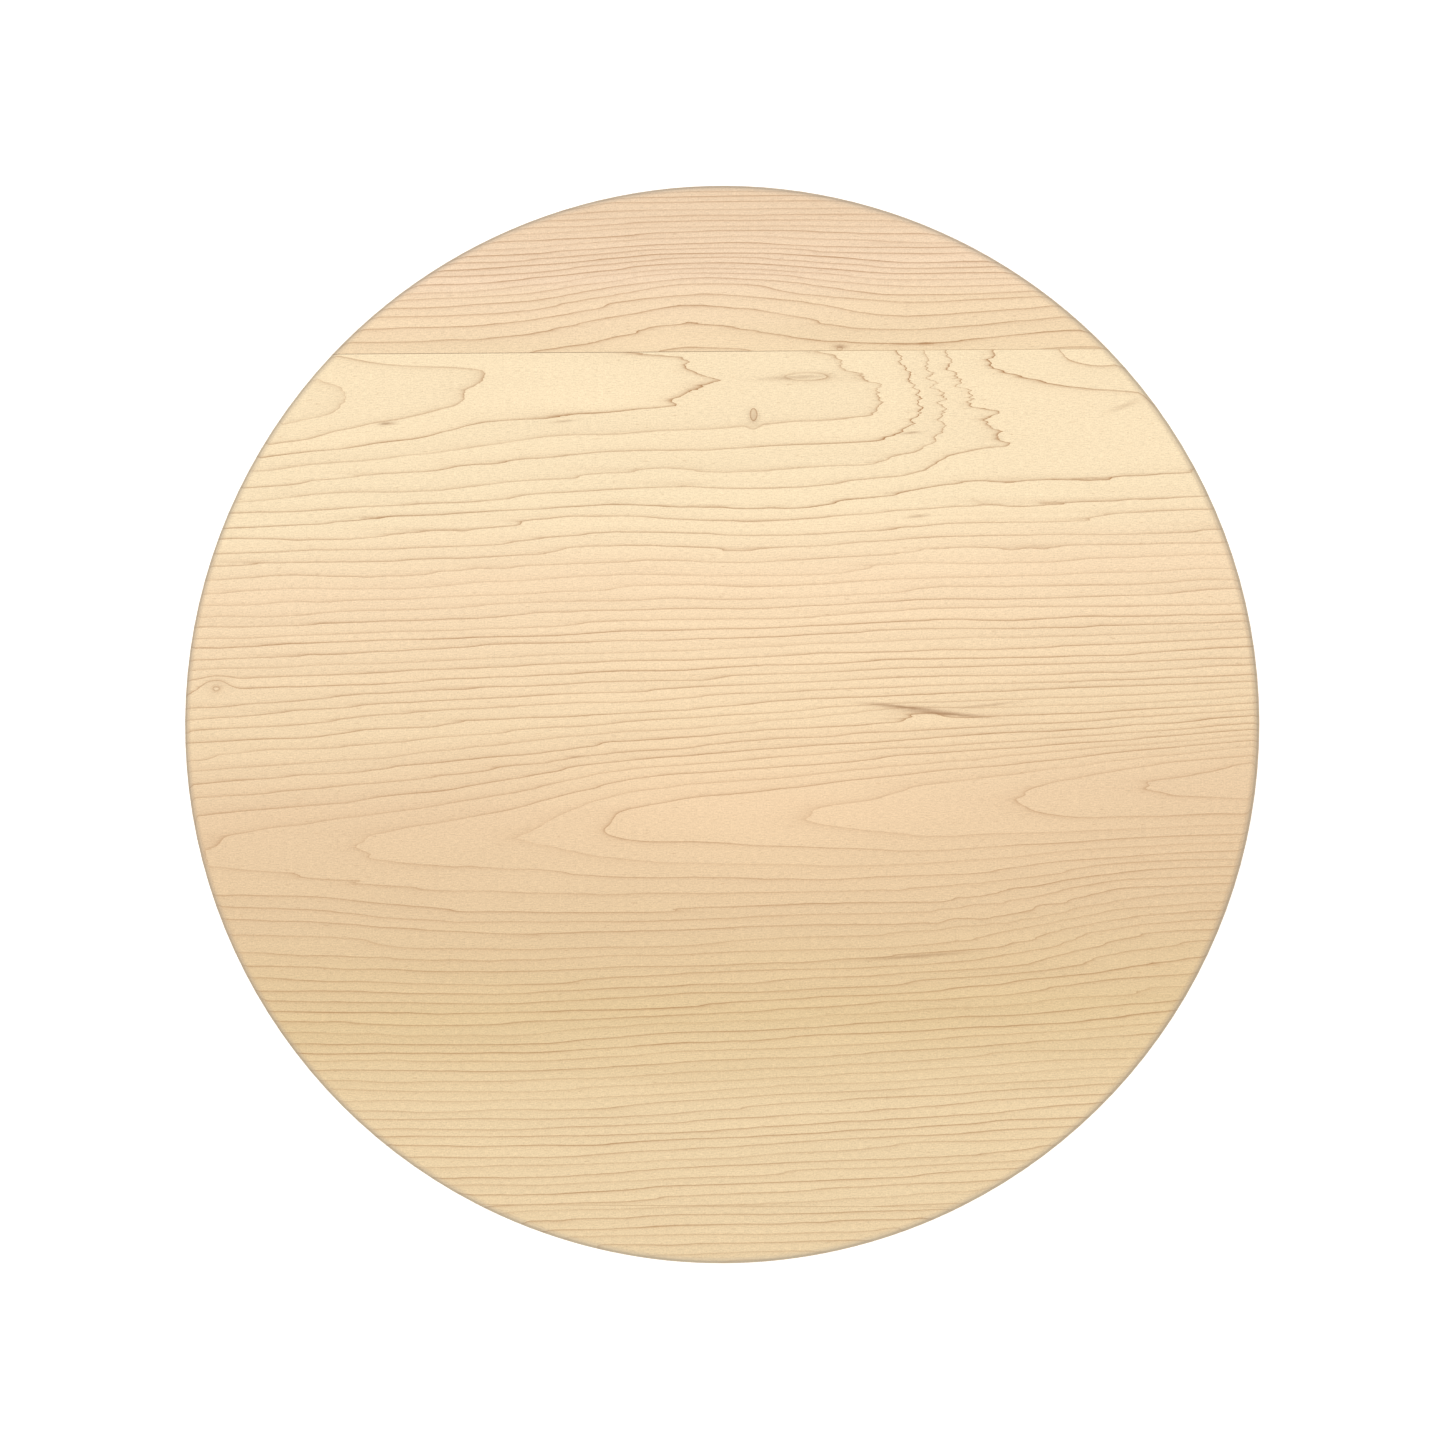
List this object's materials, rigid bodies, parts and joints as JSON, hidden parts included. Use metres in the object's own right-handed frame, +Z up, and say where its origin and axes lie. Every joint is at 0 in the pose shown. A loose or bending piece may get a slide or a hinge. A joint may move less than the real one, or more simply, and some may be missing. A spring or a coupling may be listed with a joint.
{
  "type": "round wooden board",
  "caption": "Flat round board of solid maple, edge-glued from planks of unequal width, with a small eased bevel around both faces.",
  "frame": {"origin": "centre of the flat underside", "axes": "+Z up through the thickness, +X along the grain, +Y across the planks towards the rear plank"},
  "size_m": [0.3556, 0.3556, 0.019],
  "materials": {
    "maple": "bare or thinly oiled, sanded smooth, satin",
    "glue": "cured wood glue, cut flush with the wood"
  },
  "bodies": {
    "root": {"front_plank": "maple", "front_glue_film": "glue", "middle_plank": "maple", "rear_glue_film": "glue", "rear_plank": "maple"}
  },
  "joints": []
}
